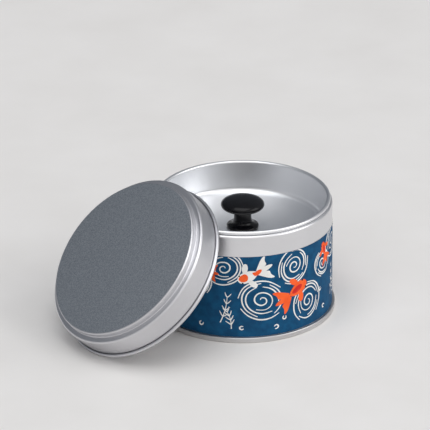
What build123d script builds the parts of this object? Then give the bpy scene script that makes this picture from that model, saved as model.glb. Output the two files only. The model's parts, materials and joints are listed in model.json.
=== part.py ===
from build123d import *
import math
import os

# A round tinplate caddy with a lift-out inner lid and a slip-over outer lid that leans on it.
# Millimetres, +Z up. The origin is on the tin's axis, on the surface it stands on.

# ---- sheet and main sizes -------------------------------------------------------------------
SHEET = 0.3                 # tinplate thickness
BODY_R = 40.0               # outside radius of the plain body wall
BODY_TOP = 51.2             # top of the rolled mouth
MOUTH_ROLL_R = 1.1          # outside radius of the roll that turns the mouth inwards
MOUTH_HEM = 2.0             # straight length of the turned-in hem below the roll

# ---- bottom end and its seam ----------------------------------------------------------------
FOOT_R = 41.4               # outside radius of the seamed foot ring
FOOT_H = 2.5                # height of the foot ring
FOOT_ROUND = 0.45           # rounding of its outer corners
SEAM_FLOOR = 0.6            # metal under the body's edge
PANEL_Z = 2.7               # underside of the bottom panel's outer part
PANEL_STEP = 0.6            # the middle of the panel is lower by this
PANEL_STEP_R = 33.0

# ---- paper ------------------------------------------------------------------------------------
PAPER = 0.15                # paper thickness
PAPER_LOW = 2.6
PAPER_TOP = 41.5
PAPER_LAP = 7.0             # width of the glued overlap at the back

# ---- side seam of the body --------------------------------------------------------------------
SEAM_W = 3.6                # the folded lock seam, inside the wall, at the back
SEAM_T = 0.6
SEAM_LOW = 4.0
SEAM_TOP = 47.0

# ---- inner lid --------------------------------------------------------------------------------
DISH_R = 37.6               # outside radius of the dish wall, a slide fit in the mouth hem
DISH_FLOOR = 38.2           # top of the dish's floor, where the knob stands
DISH_CORNER = 2.6           # outside radius between floor and wall
DISH_CURL_R = 0.95          # outside radius of the rolled edge
DISH_TOP = 53.03            # top of the rolled edge, which is the top of the closed tin body
KNOB_HOLE_R = 1.8

# ---- knob and its fastening -------------------------------------------------------------------
KNOB_BASE_R = 7.1
KNOB_STEM_R = 3.75
KNOB_HEAD_R = 9.75
KNOB_BASE_H = 1.3           # thickness of the foot's edge
KNOB_FLARE = 2.2            # radius of the flare from foot to stem
KNOB_NECK_H = 7.4           # height where the head's underside starts
KNOB_HEAD_EDGE = 10.7       # height of the head's widest line
KNOB_H = 13.4
SCREW_BORE_R = 1.5
SCREW_R = 1.45
SCREW_DEPTH = 8.0           # how far the screw goes up into the knob
SCREW_HEAD_R = 3.0
SCREW_HEAD_H = 1.7
SLOT_W = 0.8
SLOT_DEPTH = 0.8
WASHER_R = 4.5
WASHER_HOLE_R = 1.7
WASHER_T = 0.6

# ---- outer lid, in its own frame: open edge at height 0, axis up --------------------------------
LID_R = 40.5                # outside radius of the skirt
LID_CURL_R = 0.8            # outside radius of the curl round the open edge
LID_LEDGE = 11.75           # top of the stepped ledge
LID_LEDGE_ROUND = 0.9       # rounding between skirt and ledge
LID_FACE_R = 37.6           # outside radius of the raised face's wall
LID_FACE_ROUND = 0.7
LID_FOLD = 0.6              # inside corner between ledge and the raised wall
LID_H = 14.7                # top of the face

# ---- where the outer lid leans ------------------------------------------------------------------
LEAN_AZIMUTH = 215.2        # direction from the tin's axis to the lid's middle, degrees
LEAN_TILT = 45.4            # slope of the lid's face away from level, degrees
LEAN_REACH = 54.3           # distance from the tin's axis to the middle of the lid's curl
LEAN_GAP = 0.05             # the curl's height above the surface


def turned(profile):
    """A face drawn with x as radius and y as height, turned round the Z axis."""
    return revolve(Plane.XZ * profile, Axis.Z)


def sheet_ring(*lines):
    """Sheet metal that follows lines along the middle of its thickness, turned round the axis."""
    path = Curve() + [line for line in lines]
    return turned(trace(path, line_width=SHEET))


def tube(inner, outer, low, high):
    """A plain ring of rectangular section."""
    section = Pos((inner + outer) / 2, (low + high) / 2) * Rectangle(outer - inner, high - low)
    return turned(section)


def body_shell():
    """Wall with the rolled mouth and a lock seam inside the back."""
    wall = BODY_R - SHEET / 2
    roll = MOUTH_ROLL_R - SHEET / 2
    roll_z = BODY_TOP - MOUTH_ROLL_R
    upright = Line((wall, SEAM_FLOOR), (wall, roll_z))
    top = CenterArc((wall - roll, roll_z), roll, 0, 180)
    hem = Line((wall - 2 * roll, roll_z), (wall - 2 * roll, roll_z - MOUTH_HEM))
    shell = sheet_ring(upright, top, hem)
    seam_r = BODY_R - SHEET
    ring = tube(seam_r - SEAM_T, seam_r + SHEET / 2, SEAM_LOW, SEAM_TOP)
    strip = Pos(0, seam_r, (SEAM_LOW + SEAM_TOP) / 2) * Box(SEAM_W, 4 * SEAM_T, SEAM_TOP - SEAM_LOW)
    return shell + (ring & strip)


def bottom_end():
    """Sunk panel, chuck wall and the seam that wraps the body's lower edge."""
    wall = BODY_R - SHEET
    seam = Pos((BODY_R + FOOT_R) / 2, FOOT_H / 2) * Rectangle(FOOT_R - BODY_R, FOOT_H)
    seam = fillet(seam.vertices().sort_by(Axis.X)[-2:], FOOT_ROUND)
    land = Pos((wall - SHEET + FOOT_R - FOOT_ROUND) / 2, SEAM_FLOOR / 2)
    land *= Rectangle(FOOT_R - FOOT_ROUND - wall + SHEET, SEAM_FLOOR)
    chuck = Pos(wall - SHEET / 2, (PANEL_Z + SHEET) / 2) * Rectangle(SHEET, PANEL_Z + SHEET)
    middle = PANEL_Z + SHEET / 2
    low = middle - PANEL_STEP
    step = FilletPolyline(
        (wall - SHEET / 2, middle),
        (PANEL_STEP_R + PANEL_STEP, middle),
        (PANEL_STEP_R, low),
        (0, low),
        radius=0.4,
    )
    panel = trace(step, line_width=SHEET)
    return turned(seam + land + chuck + panel)


def paper_wrap():
    """One turn of paper with a glued overlap at the back."""
    wrap = tube(BODY_R, BODY_R + PAPER, PAPER_LOW, PAPER_TOP)
    lap = tube(BODY_R + PAPER / 2, BODY_R + 2 * PAPER, PAPER_LOW, PAPER_TOP)
    strip = Pos(0, BODY_R, (PAPER_LOW + PAPER_TOP) / 2) * Box(PAPER_LAP, BODY_R / 2, PAPER_TOP)
    return wrap + (lap & strip)


def inner_lid_dish():
    """Dish with a rolled edge that rests on the mouth and a hole for the knob's screw."""
    wall = DISH_R - SHEET / 2
    curl = DISH_CURL_R - SHEET / 2
    curl_z = DISH_TOP - DISH_CURL_R
    floor_z = DISH_FLOOR - SHEET / 2
    sides = FilletPolyline(
        (KNOB_HOLE_R, floor_z),
        (wall, floor_z),
        (wall, curl_z),
        radius=DISH_CORNER - SHEET / 2,
    )
    roll = CenterArc((wall + curl, curl_z), curl, 180, -280)
    return sheet_ring(sides, roll)


def knob():
    """Turned knob: flared foot, stem and a mushroom head, bored for its screw from below."""
    stem_low = KNOB_BASE_H + KNOB_FLARE
    flare_end = (KNOB_STEM_R, stem_low)
    foot_end = (KNOB_BASE_R - 0.5, KNOB_BASE_H)
    outline = Polyline(
        (SCREW_BORE_R, SCREW_DEPTH),
        (SCREW_BORE_R, 0),
        (KNOB_BASE_R - 0.2, 0),
    )
    outline += ThreePointArc((KNOB_BASE_R - 0.2, 0), (KNOB_BASE_R, KNOB_BASE_H / 2), foot_end)
    outline += TangentArc(flare_end, foot_end, tangent=(0, 1), tangent_from_first=False)
    outline += Line(flare_end, (KNOB_STEM_R, KNOB_NECK_H))
    outline += Spline(
        (KNOB_STEM_R, KNOB_NECK_H),
        (KNOB_HEAD_R, KNOB_HEAD_EDGE),
        tangents=((0.15, 1), (0, 1)),
        tangent_scalars=(0.6, 0.6),
    )
    outline += Spline(
        (KNOB_HEAD_R, KNOB_HEAD_EDGE),
        (0, KNOB_H),
        tangents=((0, 1), (-1, 0)),
        tangent_scalars=(0.7, 1.6),
    )
    outline += Polyline((0, KNOB_H), (0, SCREW_DEPTH), (SCREW_BORE_R, SCREW_DEPTH))
    return Pos(0, 0, DISH_FLOOR) * turned(make_face(outline.edges()))


def knob_washer():
    """Flat washer under the dish."""
    top = DISH_FLOOR - SHEET
    return tube(WASHER_HOLE_R, WASHER_R, top - WASHER_T, top)


def knob_screw():
    """Slotted pan-head screw, from underneath into the knob."""
    seat = DISH_FLOOR - SHEET - WASHER_T
    top = DISH_FLOOR + SCREW_DEPTH - 0.3
    shank = Pos(0, 0, (seat + top) / 2) * Cylinder(SCREW_R, top - seat)
    head = Pos(0, 0, seat - SCREW_HEAD_H / 2) * Cylinder(SCREW_HEAD_R, SCREW_HEAD_H)
    head = fillet(head.edges().sort_by(Axis.Z)[0], 0.6)
    slot = Pos(0, 0, seat - SCREW_HEAD_H + SLOT_DEPTH / 2) * Box(4 * SCREW_HEAD_R, SLOT_W, SLOT_DEPTH)
    return head + shank - slot


def outer_lid_shell():
    """Slip-over lid: raised flat face, stepped ledge, skirt and curled open edge."""
    wall = LID_R - SHEET / 2
    curl = LID_CURL_R - SHEET / 2
    face = FilletPolyline(
        (0, LID_H - SHEET / 2),
        (LID_FACE_R - SHEET / 2, LID_H - SHEET / 2),
        (LID_FACE_R - SHEET / 2, LID_LEDGE - SHEET / 2),
        (wall, LID_LEDGE - SHEET / 2),
        (wall, LID_CURL_R),
        radius=(LID_FACE_ROUND, LID_FOLD, LID_LEDGE_ROUND),
    )
    roll = CenterArc((wall + curl, LID_CURL_R), curl, 180, 280)
    return sheet_ring(face, roll)


def leaning(solid):
    """Put the outer lid where it leans: curl on the surface and on the tin's mouth."""
    tilt = math.radians(LEAN_TILT)
    centre_z = LEAN_GAP + LID_CURL_R + (LID_R - SHEET + LID_CURL_R) * math.sin(tilt)
    at_own_centre = Pos(0, 0, -LID_CURL_R) * solid
    tilted = Rot(0, LEAN_TILT, 0) * at_own_centre
    return Rot(0, 0, LEAN_AZIMUTH) * (Pos(LEAN_REACH, 0, centre_z) * tilted)


NODES = {
    "body_shell": body_shell,
    "bottom_end": bottom_end,
    "paper_wrap": paper_wrap,
    "inner_lid_dish": inner_lid_dish,
    "knob": knob,
    "knob_screw": knob_screw,
    "knob_washer": knob_washer,
}

os.makedirs("parts", exist_ok=True)
for name, make in NODES.items():
    export_step(make(), f"parts/{name}.step")
export_step(leaning(outer_lid_shell()), "parts/outer_lid_shell.step")
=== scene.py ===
# %% [markdown]
# # A round caddy tin with a paper wrap, an inner lid and a leaning outer lid
# The tin is made of pressed and rolled sheet, so nearly every piece is a body of revolution.
# Each one is drawn as half a section and spun round an axis, as a metal spinner would see it.
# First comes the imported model, which gives every place and size.

# %% Load the frame
import bpy
import bmesh
import json
import math
import random
from mathutils import Matrix, Vector


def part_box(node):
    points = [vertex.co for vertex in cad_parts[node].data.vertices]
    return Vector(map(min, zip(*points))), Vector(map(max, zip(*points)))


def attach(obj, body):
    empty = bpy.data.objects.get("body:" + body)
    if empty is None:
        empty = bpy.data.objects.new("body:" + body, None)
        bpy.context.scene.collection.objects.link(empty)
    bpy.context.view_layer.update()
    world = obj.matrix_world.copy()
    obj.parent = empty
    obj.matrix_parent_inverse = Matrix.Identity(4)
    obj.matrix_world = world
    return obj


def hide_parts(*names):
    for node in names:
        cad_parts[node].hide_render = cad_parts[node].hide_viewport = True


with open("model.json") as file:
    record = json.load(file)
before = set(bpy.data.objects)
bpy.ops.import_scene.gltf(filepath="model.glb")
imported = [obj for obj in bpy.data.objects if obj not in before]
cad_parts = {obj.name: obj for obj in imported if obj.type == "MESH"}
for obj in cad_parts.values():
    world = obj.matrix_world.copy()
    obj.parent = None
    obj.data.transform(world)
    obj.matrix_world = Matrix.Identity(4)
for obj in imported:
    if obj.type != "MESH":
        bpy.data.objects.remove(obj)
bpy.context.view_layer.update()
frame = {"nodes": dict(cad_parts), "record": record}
MM = 0.001
joints = {joint["name"]: joint for joint in frame["record"]["behaviour"]["joints"]}


# %% [markdown]
# ## Driving sizes
# The radii and heights of the sheet-metal pieces are read from the boxes of the CAD nodes where
# a box shows them. Roundings and sheet thickness, which no box shows, are named here.

# %% Sizes from the frame
def node_radius(node):
    low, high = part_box(node)
    return (high[0] - low[0]) / 2


def node_heights(node):
    low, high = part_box(node)
    return low[2], high[2]


SHEET = 0.3 * MM
body_r = node_radius("body_shell")
body_low, body_top = node_heights("body_shell")
foot_r = node_radius("bottom_end")
paper_r = node_radius("paper_wrap")
paper_low, paper_top = node_heights("paper_wrap")
curl_outer_r = node_radius("inner_lid_dish")
dish_low, dish_top = node_heights("inner_lid_dish")
knob_low = node_heights("knob")[0]
knob_r = node_radius("knob")
print(f"body radius {body_r:.4f}, tin height {dish_top:.4f}, knob radius {knob_r:.5f}")

# %% [markdown]
# ## Drawing half a section
# Sheet metal bends with a radius at every corner. `arc` gives the points of a curl or a rounding.
# `bent` takes the corners of the middle line of the sheet, with a radius for each, and returns
# points with the bends as arcs.


# %% Section helpers
BEND_STEPS = 8
CURL_STEPS = 3 * BEND_STEPS
CURL_SWEEP = 280            # degrees that an edge's curl turns through
SKIN_GAP = 0.02 * MM        # keeps a skin off the wall under it


def arc(centre, radius, start, sweep, steps):
    """Points on an arc in the section plane, angles in degrees."""
    points = []
    for i in range(steps + 1):
        angle = math.radians(start + sweep * i / steps)
        across = centre[0] + radius * math.cos(angle)
        up = centre[1] + radius * math.sin(angle)
        points.append(Vector((across, up)))
    return points


def bent(corners, radii):
    """A line through corners with each inner corner rounded to its radius."""
    corners = [Vector(corner) for corner in corners]
    points = [corners[0]]
    for before, corner, after, radius in zip(corners, corners[1:], corners[2:], radii):
        back = (before - corner).normalized()
        ahead = (after - corner).normalized()
        half = back.angle(ahead) / 2
        centre = corner + (back + ahead).normalized() * radius / math.sin(half)
        start = corner + back * radius / math.tan(half) - centre
        end = corner + ahead * radius / math.tan(half) - centre
        turn = start.angle_signed(end)
        for i in range(BEND_STEPS + 1):
            spoke = start.copy()
            spoke.rotate(Matrix.Rotation(-turn * i / BEND_STEPS, 2))
            points.append(centre + spoke)
    points.append(corners[-1])
    return points


# %% [markdown]
# ## Spinning a section
# `bmesh.ops.spin` turns the section round the axis and merges the seam. The normals are made to
# agree before the sheet gets its thickness. Thickness is added on one side only, so the middle
# line first moves out by half a sheet. A section that is drawn without a thickness stays a single
# skin. Edges sharper than 40 degrees stay crisp and all others shade smoothly.

# %% Spinning helpers
SPIN_STEPS = 160
CREASE = math.radians(40)
WELD = 0.002 * MM           # points closer than this become one


def finish_mesh(name, work, materials, body):
    """Turns a bmesh into a piece that rides on a body."""
    mesh = bpy.data.meshes.new(name)
    work.to_mesh(mesh)
    work.free()
    for material in materials:
        mesh.materials.append(material)
    mesh.shade_smooth()
    mesh.set_sharp_from_angle(angle=CREASE)
    piece = bpy.data.objects.new(name, mesh)
    bpy.context.scene.collection.objects.link(piece)
    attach(piece, body)
    print(f"{name}: {len(mesh.polygons)} faces")
    return piece


def spun(points, thickness=0.0):
    """A section of (radius, height) points spun round Z, with the sheet's thickness if given."""
    work = bmesh.new()
    verts = [work.verts.new((point[0], 0, point[1])) for point in points]
    edges = [work.edges.new(pair) for pair in zip(verts, verts[1:])]
    bmesh.ops.spin(
        work, geom=verts + edges, cent=(0, 0, 0), axis=(0, 0, 1), dvec=(0, 0, 0),
        angle=math.tau, steps=SPIN_STEPS, use_merge=True, use_duplicate=False,
    )
    bmesh.ops.remove_doubles(work, verts=work.verts, dist=WELD)
    bmesh.ops.recalc_face_normals(work, faces=work.faces)
    if thickness:
        work.normal_update()
        for vert in work.verts:
            vert.co += vert.normal * thickness / 2
        bmesh.ops.solidify(work, geom=work.faces[:], thickness=thickness)
    return work


# %% [markdown]
# ## Node materials
# Every finish is a Principled shader fed by noise at the scale of the real surface. The small
# functions keep each recipe to a few lines: one makes the material, one adds a noise texture on
# Object coordinates, one ramps it between two colours or two values.

# %% Material helpers


def new_material(name, base, metallic, roughness):
    material = bpy.data.materials.new(name)
    material.use_nodes = True
    shader = material.node_tree.nodes["Principled BSDF"]
    shader.inputs["Base Color"].default_value = (*base, 1)
    shader.inputs["Metallic"].default_value = metallic
    shader.inputs["Roughness"].default_value = roughness
    return material, material.node_tree, shader


def noise(tree, scale, detail=4.0, stretch=(1, 1, 1)):
    place = tree.nodes.new("ShaderNodeTexCoord")
    mapping = tree.nodes.new("ShaderNodeMapping")
    mapping.inputs["Scale"].default_value = stretch
    texture = tree.nodes.new("ShaderNodeTexNoise")
    texture.inputs["Scale"].default_value = scale
    texture.inputs["Detail"].default_value = detail
    tree.links.new(place.outputs["Object"], mapping.inputs["Vector"])
    tree.links.new(mapping.outputs["Vector"], texture.inputs["Vector"])
    return texture.outputs["Fac"]


def ramp(tree, source, low, high, start=0.35, end=0.65):
    """Maps a 0 to 1 source onto a colour or a grey value between low and high."""
    node = tree.nodes.new("ShaderNodeValToRGB")
    for element, position, value in zip(node.color_ramp.elements, (start, end), (low, high)):
        element.position = position
        element.color = (*value, 1) if isinstance(value, tuple) else (value, value, value, 1)
    tree.links.new(source, node.inputs["Fac"])
    return node.outputs["Color"]


def bump(tree, shader, source, strength, depth):
    node = tree.nodes.new("ShaderNodeBump")
    node.inputs["Strength"].default_value = strength
    node.inputs["Distance"].default_value = depth
    tree.links.new(source, node.inputs["Height"])
    tree.links.new(node.outputs["Normal"], shader.inputs["Normal"])


# %% [markdown]
# ## Satin tinplate
# Tinplate is steel with a bright tin skin over a finely ground sheet. It mirrors the room softly:
# metallic, with a roughness near 0.3 that wanders a little, a faint cloudy tone and a very fine
# grain. The recipe takes its colours and grain as arguments. The dish takes a lighter copy of the
# metal, a painted reflection that brightens its inner walls, and the lid's skirt a darker copy,
# which is painted shade. The lid's flat face is ground coarser and reads as matt grey.


# %% Tinplate
CLOUD_SCALE = 45.0
PATCH_SCALE = 900.0
GRAIN_STRENGTH = 0.06


def tinplate(name, dark, light, rough_low, rough_high, grain, depth):
    material, tree, shader = new_material(name, light, 1.0, rough_high)
    clouds = noise(tree, CLOUD_SCALE, 5.0)
    tree.links.new(ramp(tree, clouds, dark, light, 0.2, 0.8), shader.inputs["Base Color"])
    patches = noise(tree, PATCH_SCALE, 3.0)
    tree.links.new(ramp(tree, patches, rough_low, rough_high, 0.2, 0.8), shader.inputs["Roughness"])
    bump(tree, shader, noise(tree, grain, 2.0), GRAIN_STRENGTH, depth)
    return material


satin_tin = tinplate("satin_tinplate", (0.72, 0.72, 0.74), (0.77, 0.77, 0.79),
                     0.30, 0.36, 2600, 0.03 * MM)
# A lighter copy of the tinplate for the inner lid: painted reflection, brightening its inner walls
dish_tin_painted_reflection = tinplate("dish_tinplate_painted_reflection", (0.80, 0.81, 0.83), (0.85, 0.86, 0.88),
                    0.33, 0.38, 2600, 0.015 * MM)
foot_tin = tinplate("foot_tinplate", (0.56, 0.55, 0.55), (0.66, 0.65, 0.65),
                    0.30, 0.44, 2200, 0.04 * MM)
# A darker copy of the tinplate for the outer lid's skirt and ledge: painted shade
lid_skirt_tin_painted_shade = tinplate("lid_skirt_tinplate_painted_shade", (0.61, 0.61, 0.635), (0.66, 0.66, 0.685),
                   0.30, 0.36, 2600, 0.03 * MM)
print("tinplate finishes ready")

# %% [markdown]
# ## The lid's flat face
# The face of the outer lid is the one broad flat of the set. It has a close, even grain with tiny
# light and dark specks and no polish, so it looks like matt grey metal. One noise tints it, one
# varies its roughness, and a fine bump breaks up every reflection.


# %% Matt lid face
def matt_face():
    material, tree, shader = new_material("matt_lid_face", (0.36, 0.38, 0.42), 0.85, 0.5)
    specks = ramp(tree, noise(tree, 1900.0, 2.0), (0.25, 0.277, 0.308), (0.385, 0.415, 0.455))
    tree.links.new(specks, shader.inputs["Base Color"])
    tree.links.new(ramp(tree, noise(tree, 1700.0, 2.0), 0.46, 0.60), shader.inputs["Roughness"])
    bump(tree, shader, noise(tree, 2600.0, 2.0), 0.35, 0.008 * MM)
    return material


face_tin = matt_face()

# %% [markdown]
# ## Gloss black knob, printed paper and plated screw
# The knob is turned and lacquered: nearly black, and smooth enough for clear highlights. The
# paper is soft and matt: a deep blue-green ground that is a little uneven, as hand-printed ground
# colours are, with fine fibres in the bump.


# %% Knob, paper, ink and zinc finishes
def knob_lacquer():
    material, tree, shader = new_material("black_lacquer", (0.008, 0.008, 0.010), 0.0, 0.16)
    shader.inputs["Specular IOR Level"].default_value = 0.20
    tone = ramp(tree, noise(tree, 220.0, 3.0), (0.003, 0.003, 0.004), (0.006, 0.006, 0.008))
    tree.links.new(tone, shader.inputs["Base Color"])
    tree.links.new(ramp(tree, noise(tree, 400.0, 4.0), 0.13, 0.20), shader.inputs["Roughness"])
    bump(tree, shader, noise(tree, 700.0, 2.0), 0.15, 0.01 * MM)
    return material


def ink(name, low, high, rough=0.72):
    """One printed colour: matt, slightly uneven, with the paper's fibres showing through."""
    material, tree, shader = new_material(name, high, 0.0, rough)
    shader.inputs["Specular IOR Level"].default_value = 0.22
    tree.links.new(ramp(tree, noise(tree, 260.0, 6.0), low, high), shader.inputs["Base Color"])
    bump(tree, shader, noise(tree, 900.0, 5.0, (1, 1, 3)), 0.35, 0.02 * MM)
    return material


def zinc(name):
    material, tree, shader = new_material(name, (0.58, 0.59, 0.60), 1.0, 0.34)
    tone = ramp(tree, noise(tree, 500.0), (0.48, 0.49, 0.50), (0.62, 0.63, 0.64))
    tree.links.new(tone, shader.inputs["Base Color"])
    bump(tree, shader, noise(tree, 3000.0), 0.4, 0.003 * MM)
    return material


lacquer = knob_lacquer()
ground_ink = ink("deep_teal_ground", (0.0006, 0.052, 0.135), (0.002, 0.082, 0.195))
white_ink = ink("white_ink", (0.80, 0.80, 0.78), (0.90, 0.90, 0.88))
orange_ink = ink("orange_ink", (0.90, 0.105, 0.02), (1.0, 0.15, 0.035))
red_ink = ink("red_ink", (0.60, 0.022, 0.018), (0.74, 0.04, 0.03))
black_ink = ink("black_ink", (0.004, 0.005, 0.008), (0.010, 0.012, 0.016))
paper_back = ink("bare_paper", (0.62, 0.60, 0.56), (0.70, 0.68, 0.64))
screw_zinc = zinc("zinc_plate")

# %% [markdown]
# ## The tin's body
# The wall, the roll at the mouth and the turned-in hem are one strip of sheet. The wall's middle
# line runs up, bends over with a tight radius and comes down inside.

# %% Body and foot
MOUTH_ROLL = 1.1 * MM
MOUTH_HEM = 2.0 * MM
middle_r = body_r - SHEET / 2
roll_r = MOUTH_ROLL - SHEET / 2
roll_z = body_top - MOUTH_ROLL
wall_path = [Vector((middle_r, body_low))]
wall_path += arc((middle_r - roll_r, roll_z), roll_r, 0, 180, 2 * BEND_STEPS)
wall_path.append(Vector((middle_r - 2 * roll_r, roll_z - MOUTH_HEM)))
tin_wall = finish_mesh("tin_wall", spun(wall_path, SHEET), [satin_tin], "tin")
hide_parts("body_shell")

# %% [markdown]
# The seamed foot is a rounded ring a little wider than the wall. A thin groove is left between
# its top and the paper, where the folded edge of the real seam makes a dark line. The bottom
# panel is sunk, so that the tin stands on the ring alone. Ring and panel are one open skin
# without a thickness.

# %% Foot ring and bottom panel
FOOT_H = 2.5 * MM
FOOT_ROUND = 0.45 * MM
PANEL_Z = 2.7 * MM
PANEL_STEP = 0.6 * MM
PANEL_STEP_R = 33.0 * MM
PANEL_BENDS = (0.5 * MM, 0.6 * MM, 0.6 * MM)
GROOVE = 0.35 * MM
chuck_r = body_r - 1.5 * SHEET
ring = [Vector((body_r + SKIN_GAP, FOOT_H - GROOVE)), Vector((body_r + GROOVE, FOOT_H))]
ring += arc((foot_r - FOOT_ROUND, FOOT_H - FOOT_ROUND), FOOT_ROUND, 90, -90, BEND_STEPS)
ring += arc((foot_r - FOOT_ROUND, FOOT_ROUND), FOOT_ROUND, 0, -90, BEND_STEPS)
ring += arc((chuck_r + SHEET, SHEET), SHEET, -90, -90, BEND_STEPS)
ring += bent(
    [(chuck_r, SHEET), (chuck_r, PANEL_Z), (PANEL_STEP_R + PANEL_STEP, PANEL_Z),
     (PANEL_STEP_R, PANEL_Z - PANEL_STEP), (0, PANEL_Z - PANEL_STEP)],
    PANEL_BENDS,
)[1:]
foot = finish_mesh("foot_ring", spun(ring), [foot_tin], "tin")
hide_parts("bottom_end")

# %% [markdown]
# ## The inner lid
# A dish with a soft corner between floor and wall. Its edge is rolled outwards into a bead that
# rests on the mouth. The real one is a single pressing, so this is a single line.

# %% Inner lid
DISH_CURL = 0.95 * MM
DISH_CORNER = 2.6 * MM
dish_mid_r = curl_outer_r - 2 * DISH_CURL + SHEET / 2
dish_curl_z = dish_top - DISH_CURL
dish_roll = DISH_CURL - SHEET / 2
dish_floor = dish_low + SHEET / 2
dish_corners = [(0, dish_floor), (dish_mid_r, dish_floor), (dish_mid_r, dish_curl_z)]
dish_path = bent(dish_corners, [DISH_CORNER])
dish_path += arc((dish_mid_r + dish_roll, dish_curl_z), dish_roll, 180, -CURL_SWEEP, CURL_STEPS)[1:]
inner_lid = finish_mesh("inner_lid_pressing", spun(dish_path, SHEET), [dish_tin_painted_reflection], "inner_lid")
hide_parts("inner_lid_dish")

# %% [markdown]
# ## The knob
# A turned mushroom: thin flared foot, narrow stem, and a wide domed head with a soft edge. The
# section is a short list of points on the turning, then the spin and a subdivision surface that
# rounds it as sandpaper would.

# %% Knob
knob_section = [
    (0.0, 0.0), (6.5, 0.0), (7.1, 0.15), (7.2, 0.6), (6.9, 1.0), (5.6, 1.3), (4.5, 1.9),
    (4.0, 3.0), (3.85, 4.6), (3.85, 6.4), (4.1, 7.5), (5.4, 8.15), (7.6, 8.6), (9.3, 9.3),
    (9.85, 10.3), (9.6, 11.4), (8.3, 12.4), (5.8, 13.05), (3.0, 13.35), (0.0, 13.4),
]
knob_points = [Vector((r * MM, knob_low + h * MM)) for r, h in knob_section]
work = spun(knob_points)
knob_piece = finish_mesh("turned_knob", work, [lacquer], "inner_lid")
rounding = knob_piece.modifiers.new("rounding", "SUBSURF")
rounding.levels = rounding.render_levels = 1
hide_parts("knob")

for node in ("knob_screw", "knob_washer"):
    for slot in frame["nodes"][node].material_slots:
        slot.material = screw_zinc

# %% [markdown]
# ## The outer lid
# It is drawn upright round its own axis: face, raised wall, ledge, skirt and curl. Then the
# frame's own joint is run backwards, from level above the mouth to where it leans, so that the
# piece lies exactly where the CAD lid does.

# %% Outer lid section
LID_R = 40.5 * MM
LID_CURL = 0.8 * MM
LID_LEDGE = 11.75 * MM
LID_FACE_R = 37.6 * MM
LID_H = 14.7 * MM
LID_BENDS = (0.5 * MM, 0.6 * MM, 0.9 * MM)
FACE_BORDER = 1.0 * MM      # bright rim left round the matt face
HOVER = 92.0 * MM           # height of the curl's middle at the joint's far limit
lid_mid_r = LID_R - SHEET / 2
lid_roll = LID_CURL - SHEET / 2
lid_path = bent(
    [(0, LID_H - SHEET / 2), (LID_FACE_R - SHEET / 2, LID_H - SHEET / 2),
     (LID_FACE_R - SHEET / 2, LID_LEDGE - SHEET / 2), (lid_mid_r, LID_LEDGE - SHEET / 2),
     (lid_mid_r, LID_CURL)],
    LID_BENDS,
)
lid_path += arc((lid_mid_r + lid_roll, LID_CURL), lid_roll, 180, CURL_SWEEP, CURL_STEPS)[1:]
face_edge = LID_FACE_R - FACE_BORDER

# %% [markdown]
# The joint's far limit is the upright place above the mouth. Turning back from there by the whole
# range gives the lean. The flat top of the face takes the matt finish before the lid is moved.

# %% Lean the lid by the joint
swing = joints["outer_lid_swing"]
swing_angle = math.radians(swing["range_deg"][1])
pole = Vector(swing["pos_m"])
back_turn = Matrix.Rotation(-swing_angle, 4, Vector(swing["axis"]))
lean = Matrix.Translation(pole) @ back_turn @ Matrix.Translation(-pole)
lean = lean @ Matrix.Translation((0, 0, HOVER - LID_CURL))
work = spun(lid_path, SHEET)
for face in work.faces:
    centre = face.calc_center_median()
    flat = Vector((centre.x, centre.y, 0)).length < face_edge
    face.material_index = 1 if flat and centre.z > LID_H - SHEET / 2 else 0
bmesh.ops.transform(work, matrix=lean, verts=work.verts)
outer_lid = finish_mesh("outer_lid_pressing", work, [lid_skirt_tin_painted_shade, face_tin], "outer_lid")
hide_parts("outer_lid_shell")

# %% [markdown]
# ## The paper wrap
# One turn of printed paper, a touch proud of the metal. Its own faces are the blue-green ground.
# It is a skin, open on the side that lies against the wall. At the back it laps over itself,
# which shows as a fine upright step.

# %% Paper and its overlap
PAPER = 0.15 * MM
LAP_W = 7.0 * MM
LAP_STEPS = 8
LAP_PLACE = math.pi / 2     # the lap's middle is at the back
LEVEL = 0.5                 # a face whose normal rises more than this is a cut edge
paper_in_r = body_r + SKIN_GAP
paper_section = [Vector((paper_in_r, paper_low)), Vector((paper_r, paper_low)),
                 Vector((paper_r, paper_top)), Vector((paper_in_r, paper_top))]
work = spun(paper_section)
for face in work.faces:
    face.material_index = 1 if abs(face.normal.z) > LEVEL else 0
paper = finish_mesh("paper_turn", work, [ground_ink, paper_back], "tin")
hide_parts("paper_wrap")

lap_angle = LAP_W / paper_r
work = bmesh.new()
low = work.verts.new((paper_r + PAPER, 0, paper_low))
high = work.verts.new((paper_r + PAPER, 0, paper_top))
edge = work.edges.new((low, high))
lap_start = Matrix.Rotation(LAP_PLACE - lap_angle / 2, 3, "Z")
bmesh.ops.rotate(work, verts=work.verts, matrix=lap_start)
bmesh.ops.spin(work, geom=[low, high, edge], cent=(0, 0, 0), axis=(0, 0, 1), dvec=(0, 0, 0),
               angle=lap_angle, steps=LAP_STEPS, use_merge=False, use_duplicate=False)
bmesh.ops.recalc_face_normals(work, faces=work.faces)
bmesh.ops.solidify(work, geom=work.faces[:], thickness=PAPER)
overlap = finish_mesh("paper_overlap", work, [ground_ink], "tin")

# %% [markdown]
# ## Printing on a cylinder
# The print is drawn flat, in millimetres round the tin and up the paper, then wrapped. A brush
# stroke is a curve whose radius swells and tapers, pressed flat. A solid shape is a closed curve
# that is filled. Both are cut into narrow strips so that they can bend. Wrapping turns the
# distance round the tin into an angle and the ink's level into a radius.

# %% Drawing helpers
INK_LEVEL = 0.02            # height of one layer of ink over the paper, in millimetres
STRIP = 1.2                 # widest strip of a shape, in millimetres
PRESSED = 0.02              # how thick a stroke is left, as a share of its roundness
CUT_TOLERANCE = 1e-5
START_ANGLE = math.radians(-112)
paper_r_mm = paper_r / MM
LAYERS = {"white": 1, "orange": 2, "red": 3, "black": 4}
INKS = [ground_ink, white_ink, orange_ink, red_ink, black_ink]
print_mesh = bmesh.new()


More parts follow.
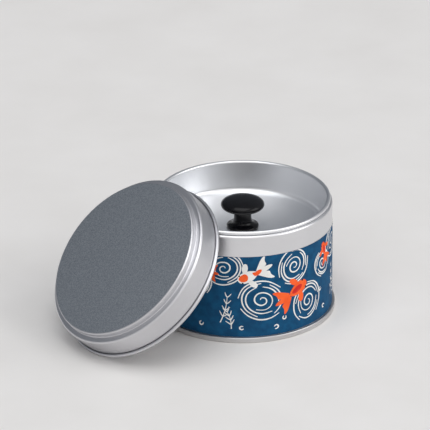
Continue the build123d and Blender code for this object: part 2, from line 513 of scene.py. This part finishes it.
def drawn(points, closed, width=1.0):
    """A flat curve through (across, up, brush radius) points, as a mesh."""
    curve = bpy.data.curves.new("stroke", "CURVE")
    curve.dimensions = "2D" if closed else "3D"
    if closed:
        curve.fill_mode = "BOTH"
    else:
        curve.bevel_depth = width
        curve.bevel_resolution = 1
        curve.use_fill_caps = True
    spline = curve.splines.new("NURBS")
    spline.points.add(len(points) - 1)
    for target, point in zip(spline.points, points):
        target.co = (point[0], point[1], 0, 1)
        target.radius = point[2] if len(point) > 2 else 1
    spline.order_u = 3
    spline.use_endpoint_u = not closed
    spline.use_cyclic_u = closed
    curve.resolution_u = 5
    holder = bpy.data.objects.new("stroke", curve)
    bpy.context.scene.collection.objects.link(holder)
    bpy.context.view_layer.update()
    shaped = holder.evaluated_get(bpy.context.evaluated_depsgraph_get())
    mesh = bpy.data.meshes.new_from_object(shaped)
    bpy.data.objects.remove(holder)
    return mesh


def press(mesh, place, colour):
    """Adds a drawn mesh to the print: put in place, pressed flat and inked."""
    layer = bmesh.new()
    layer.from_mesh(mesh)
    bpy.data.meshes.remove(mesh)
    bmesh.ops.scale(layer, vec=(1, 1, PRESSED), verts=layer.verts)
    bmesh.ops.transform(layer, matrix=place, verts=layer.verts)
    bmesh.ops.translate(layer, vec=(0, 0, INK_LEVEL * LAYERS[colour]), verts=layer.verts)
    across = [vert.co.x for vert in layer.verts]
    cut = min(across) + STRIP
    while cut < max(across):
        geometry = layer.verts[:] + layer.edges[:] + layer.faces[:]
        bmesh.ops.bisect_plane(layer, geom=geometry, dist=CUT_TOLERANCE,
                               plane_co=(cut, 0, 0), plane_no=(1, 0, 0))
        cut += STRIP
    for face in layer.faces:
        face.material_index = LAYERS[colour]
    pressed = bpy.data.meshes.new("pressed")
    layer.to_mesh(pressed)
    layer.free()
    print_mesh.from_mesh(pressed)
    bpy.data.meshes.remove(pressed)


def placed(across, up, turn=0.0, size=1.0, flip=False):
    """Where a motif goes. A flipped one is mirrored, which also turns its faces round."""
    mirror = Matrix.Diagonal((1, -1, 1, 1)) if flip else Matrix.Identity(4)
    return (Matrix.Translation((across, up, 0)) @ Matrix.Rotation(math.radians(turn), 4, "Z")
            @ Matrix.Scale(size, 4) @ mirror)


# %% [markdown]
# ## Motifs
# Rings of moving water, goldfish seen from above, a sprig of water weed and little open bubbles
# are old stock motifs of printed paper. Each is drawn here from a few points of its own, loosely,
# so that no two strokes are quite alike. The random wobble is seeded.

# %% Whorl, bubble and weed
BRUSH = 0.34                # radius of the brush, in millimetres
STROKE_STEP = 28            # degrees between the points of a stroke
STROKE_POINTS = 6           # fewest parts of a stroke
UNSTEADY = 0.08             # how far the hand wanders, in millimetres
THIN_END = 0.45             # the brush at the ends of a stroke, as a share of its middle
END_PART = 0.06
SQUASH = 0.86               # rings are a little wider than high
STEM_PARTS = 8
# reach, start, sweep and growth of each stroke of a whorl; reach and growth by its radius
WHORL = ((0.08, 0, 640, 0.46), (0.70, 215, 200, 0.0), (0.68, 75, 95, 0.04), (0.86, 265, 165, 0.0),
         (0.84, 95, 120, 0.02), (1.0, 205, 110, 0.0), (0.98, 345, 140, 0.02))
wobble = random.Random(11)


def stroke_arc(radius, start, sweep, growth, place):
    """A brush stroke round a centre whose radius grows along it, tapered at both ends."""
    count = max(STROKE_POINTS, int(abs(sweep) / STROKE_STEP))
    points = []
    for i in range(count + 1):
        part = i / count
        angle = math.radians(start + sweep * part)
        reach = radius + growth * part + wobble.uniform(-UNSTEADY, UNSTEADY)
        swell = math.sin(math.pi * min(max(part, END_PART), 1 - END_PART))
        taper = THIN_END + (1 - THIN_END) * swell
        points.append((reach * math.cos(angle), SQUASH * reach * math.sin(angle), taper))
    press(drawn(points, False, BRUSH), place, "white")


def whorl(across, up, radius, turn, flip=False):
    """An open spiral inside three broken rings."""
    place = placed(across, up, turn, 1.0, flip)
    for reach, start, sweep, growth in WHORL:
        stroke_arc(radius * reach, start, sweep, radius * growth, place)


def bubble(across, up, size, turn):
    stroke_arc(size, 40, 280, 0.0, placed(across, up, turn))


def weed(across, up, height, turn):
    """A bent stem with open forks up its length."""
    place = placed(across, up, turn)
    stem = []
    for part in range(STEM_PARTS + 1):
        sway = 0.9 * math.sin(2.6 * part / STEM_PARTS)
        stem.append((sway, height * part / STEM_PARTS, 0.9 - 0.05 * part))
    press(drawn(stem, False, BRUSH * 0.8), place, "white")
    for i in range(2, STEM_PARTS + 1, 2):
        x, y = stem[i][:2]
        for side in (-1, 1):
            tip = (x + side * (2.2 - 0.1 * i), y + 2.0 + wobble.uniform(-0.2, 0.3), 0.4)
            leaf = [(x, y, 0.8), (x + side * 1.0, y + 0.8, 0.9), tip]
            press(drawn(leaf, False, BRUSH * 0.9), place, "white")


# %% [markdown]
# A goldfish is a few filled outlines laid over each other, nose along +X. Each outline is a flat
# skin with one side. The fins and lobes are drawn once and mirrored across the fish.

# %% Goldfish
EYE_R = 0.32
EYE_PLACE = (3.0, 1.35)


def goldfish(across, up, turn, size, body_ink, mark_ink, flip=False):
    """A fish from above: round body, two side fins and a fan tail of three lobes."""
    place = placed(across, up, turn, size, flip)
    body = [(4.2, 0.0), (3.6, 1.3), (1.8, 2.0), (-0.4, 1.8), (-2.4, 0.8), (-3.0, 0.0),
            (-2.4, -0.8), (-0.4, -1.8), (1.8, -2.0), (3.6, -1.3)]
    upper_lobe = [(-2.2, 0.5), (-3.6, 1.9), (-5.6, 3.9), (-7.4, 4.4), (-6.2, 2.6), (-6.6, 1.2),
                  (-4.2, 0.4)]
    middle_lobe = [(-2.4, 0.4), (-4.6, 0.9), (-7.0, 0.8), (-8.4, 0.1), (-6.8, -0.6), (-4.6, -0.9),
                   (-2.4, -0.4)]
    lower_lobe = [(x, -y) for x, y in reversed(upper_lobe)]
    fin = [(1.6, 1.5), (1.4, 3.2), (0.2, 4.7), (-1.0, 4.2), (-0.6, 2.6), (0.2, 1.6)]
    other_fin = [(x - 0.2, -y) for x, y in reversed(fin)]
    for outline in (upper_lobe, lower_lobe, fin, other_fin):
        press(drawn(outline, True), place, mark_ink)
    press(drawn(middle_lobe, True), place, body_ink)
    press(drawn(body, True), place, body_ink)
    return place


def orange_fish(across, up, turn, size, flip=False):
    place = goldfish(across, up, turn, size, "orange", "orange", flip)
    back = [(2.6, 0.2), (1.2, 1.1), (-0.8, 0.9), (-2.2, 0.1), (-0.8, -0.8), (1.2, -0.8)]
    press(drawn(back, True), place, "red")
    eyes(place)


def pale_fish(across, up, turn, size, flip=False):
    place = goldfish(across, up, turn, size, "white", "white", flip)
    patch = [(3.9, 0.3), (2.9, 1.2), (1.0, 1.5), (0.4, 0.2), (1.2, -1.3), (3.0, -1.1)]
    saddle = [(-1.0, 0.9), (-2.2, 0.4), (-3.4, 0.9), (-4.6, 0.2), (-3.2, -0.8), (-1.4, -0.9)]
    for mark in (patch, saddle):
        press(drawn(mark, True), place, "orange")
    eyes(place)


def eyes(place):
    for side in (-1, 1):
        dot = [(EYE_PLACE[0] + EYE_R * math.cos(a), side * EYE_PLACE[1] + EYE_R * math.sin(a))
               for a in (math.radians(60 * i) for i in range(6))]
        press(drawn(dot, True), place, "black")


# %% [markdown]
# ## Laying out the print
# The sheet was printed as a repeat. One repeat is laid four times round the tin, with its motifs
# turned a little differently each time so that the eye doesn't catch it.

# %% Repeat round the tin
REPEATS = 4
# across, up, size and turn of each bubble in a repeat
BUBBLES = ((15.0, 4.4, 0.95, 10), (30.6, 3.7, 1.05, 200), (34.6, 7.6, 0.9, 80),
           (59.6, 5.0, 1.0, 330), (56.6, 14.6, 0.9, 40))
repeat_w = math.tau * paper_r_mm / REPEATS
for i in range(REPEATS):
    left = i * repeat_w
    odd = i % 2 == 1
    lift = 1.2 if odd else 0.0
    whorl(left + 7.0, 33.0, 9.2, 20 + 40 * i, odd)
    whorl(left + 24.0, 17.5 + lift, 11.0, 160 + 25 * i, not odd)
    whorl(left + 39.5, 31.5 - lift, 9.0, 250 + 30 * i, odd)
    whorl(left + 47.5, 12.0 + lift, 9.6, 80 + 35 * i, not odd)
    whorl(left + 58.5, 26.5 - lift, 7.0, 130 + 45 * i, odd)
    orange_fish(left + 41.0, 19.4 - lift, 28 - 16 * i, 1.5, odd)
    pale_fish(left + 18.5, 29.6 - lift, 204 + 12 * i, 1.4, not odd)
    orange_fish(left + 60.0, 32.4 - lift, 112 + 20 * i, 1.0, not odd)
    weed(left + 5.4, 6.6, 13.0, -12 + 5 * i)
    weed(left + 10.4, 3.8, 8.5, 16 - 4 * i)
    for across, up, size, turn in BUBBLES:
        bubble(left + across, up, size, turn + 30 * i)
tall = [vert.co.y for vert in print_mesh.verts]
print(f"print reaches from {min(tall):.1f} to {max(tall):.1f} mm up the paper")

# %% [markdown]
# Wrapping is the last step. Ink that runs past the paper's upper or lower edge is trimmed there,
# as the sheet was when it was cut. A stroke stays open where it is trimmed.

# %% Trim and wrap
TRIM = 0.15                 # bare paper left at each edge, in millimetres
paper_h_mm = (paper_top - paper_low) / MM
for up, normal in ((TRIM, (0, -1, 0)), (paper_h_mm - TRIM, (0, 1, 0))):
    geometry = print_mesh.verts[:] + print_mesh.edges[:] + print_mesh.faces[:]
    bmesh.ops.bisect_plane(print_mesh, geom=geometry, dist=CUT_TOLERANCE, plane_co=(0, up, 0),
                           plane_no=normal, clear_outer=True)
for vert in print_mesh.verts:
    angle = START_ANGLE + vert.co.x / paper_r_mm
    from_lap = abs((angle - LAP_PLACE + math.pi) % math.tau - math.pi)
    step = PAPER if from_lap < lap_angle / 2 else 0
    radius = paper_r + step + vert.co.z * MM
    vert.co = (radius * math.cos(angle), radius * math.sin(angle), paper_low + vert.co.y * MM)
printed = finish_mesh("paper_print", print_mesh, INKS, "tin")

# %% [markdown]
# ## Floor, light and camera
# The floor is pale plaster with faint clouds of tone.

# %% Floor
FLOOR_SIZE = 8.0
work = bmesh.new()
bmesh.ops.create_grid(work, x_segments=4, y_segments=4, size=FLOOR_SIZE / 2)
floor_mesh = bpy.data.meshes.new("floor")
work.to_mesh(floor_mesh)
work.free()
floor = bpy.data.objects.new("floor", floor_mesh)
bpy.context.scene.collection.objects.link(floor)
floor_material, floor_tree, floor_shader = new_material(
    "plaster_floor", (0.80, 0.79, 0.78), 0.0, 0.9)
clouds = ramp(floor_tree, noise(floor_tree, 22.0, 9.0),
              (0.785, 0.77, 0.755), (0.825, 0.812, 0.80), 0.3, 0.7)
floor_tree.links.new(clouds, floor_shader.inputs["Base Color"])
floor_mesh.materials.append(floor_material)

# %% [markdown]
# The room is bright towards the front right and dimmer on the far left, which is what shapes the
# metal: the inside of the dish is light on its left wall and darker on its right one. The tone
# follows how far a direction points at the bright side.

# %% World
BRIGHT_SIDE = (0.50, -0.84, 0.20)
FULL_TONE = 0.85
DIM_TONE = (0.15, 0.165, 0.19, 1)
MIDDLE_TONE = (0.36, 0.37, 0.39, 1)
BRIGHT_TONE = (0.98, 0.97, 0.96, 1)
world = bpy.data.worlds.new("soft_room")
bpy.context.scene.world = world
world.use_nodes = True
room = world.node_tree
background = room.nodes["Background"]
direction = room.nodes.new("ShaderNodeTexCoord")
toward = room.nodes.new("ShaderNodeVectorMath")
toward.operation = "DOT_PRODUCT"
toward.inputs[1].default_value = BRIGHT_SIDE
level = room.nodes.new("ShaderNodeMapRange")
level.inputs["From Min"].default_value = -FULL_TONE
level.inputs["From Max"].default_value = FULL_TONE
tint = room.nodes.new("ShaderNodeValToRGB")
tint.color_ramp.elements[0].color = DIM_TONE
tint.color_ramp.elements[1].color = BRIGHT_TONE
tint.color_ramp.elements.new(0.45).color = MIDDLE_TONE
room.links.new(direction.outputs["Generated"], toward.inputs[0])
room.links.new(toward.outputs["Value"], level.inputs["Value"])
room.links.new(level.outputs["Result"], tint.inputs["Fac"])
room.links.new(tint.outputs["Color"], background.inputs["Color"])
background.inputs["Strength"].default_value = 0.95

# %% [markdown]
# Two large area lamps add soft shadows: one high on the right, one nearly overhead.

# %% Lamps
LAMP_AIM = Vector((0, 0, 0.03))


def soft_lamp(name, place, size, power):
    lamp = bpy.data.lights.new(name, "AREA")
    lamp.size = size
    lamp.energy = power
    holder = bpy.data.objects.new(name, lamp)
    holder.location = place
    holder.rotation_euler = (LAMP_AIM - Vector(place)).to_track_quat("-Z", "Y").to_euler()
    bpy.context.scene.collection.objects.link(holder)


soft_lamp("right_window", (2.2, -0.6, 1.5), 1.8, 18)
soft_lamp("overhead_softbox", (-0.2, -0.5, 2.4), 2.0, 21)

# %% [markdown]
# The camera is a long lens, far off, looking down at about 25 degrees.

# %% Camera
SENSOR = 36.0
LENS = 386.288372
DISTANCE = 2.063
ELEVATION = math.radians(25.13)
LOOK_HEIGHT = 0.026
AIM_LEFT = 0.01235
AIM_UP = 0.0158
ROLL = math.radians(0.2)
camera_data = bpy.data.cameras.new("camera")
camera_data.sensor_width = SENSOR
camera_data.lens = LENS
camera = bpy.data.objects.new("camera", camera_data)
bpy.context.scene.collection.objects.link(camera)
camera.location = (
    0, -DISTANCE * math.cos(ELEVATION), LOOK_HEIGHT + DISTANCE * math.sin(ELEVATION))
aim = Vector(
    (-AIM_LEFT, AIM_UP * math.sin(ELEVATION), LOOK_HEIGHT + AIM_UP * math.cos(ELEVATION)))
look = (aim - camera.location).to_track_quat("-Z", "Y").to_matrix().to_4x4()
camera.rotation_euler = (look @ Matrix.Rotation(-ROLL, 4, "Z")).to_euler()
bpy.context.scene.camera = camera
bpy.context.scene.view_settings.view_transform = "Standard"
print(f"camera lens {camera_data.lens:.0f} mm at {camera.location}")
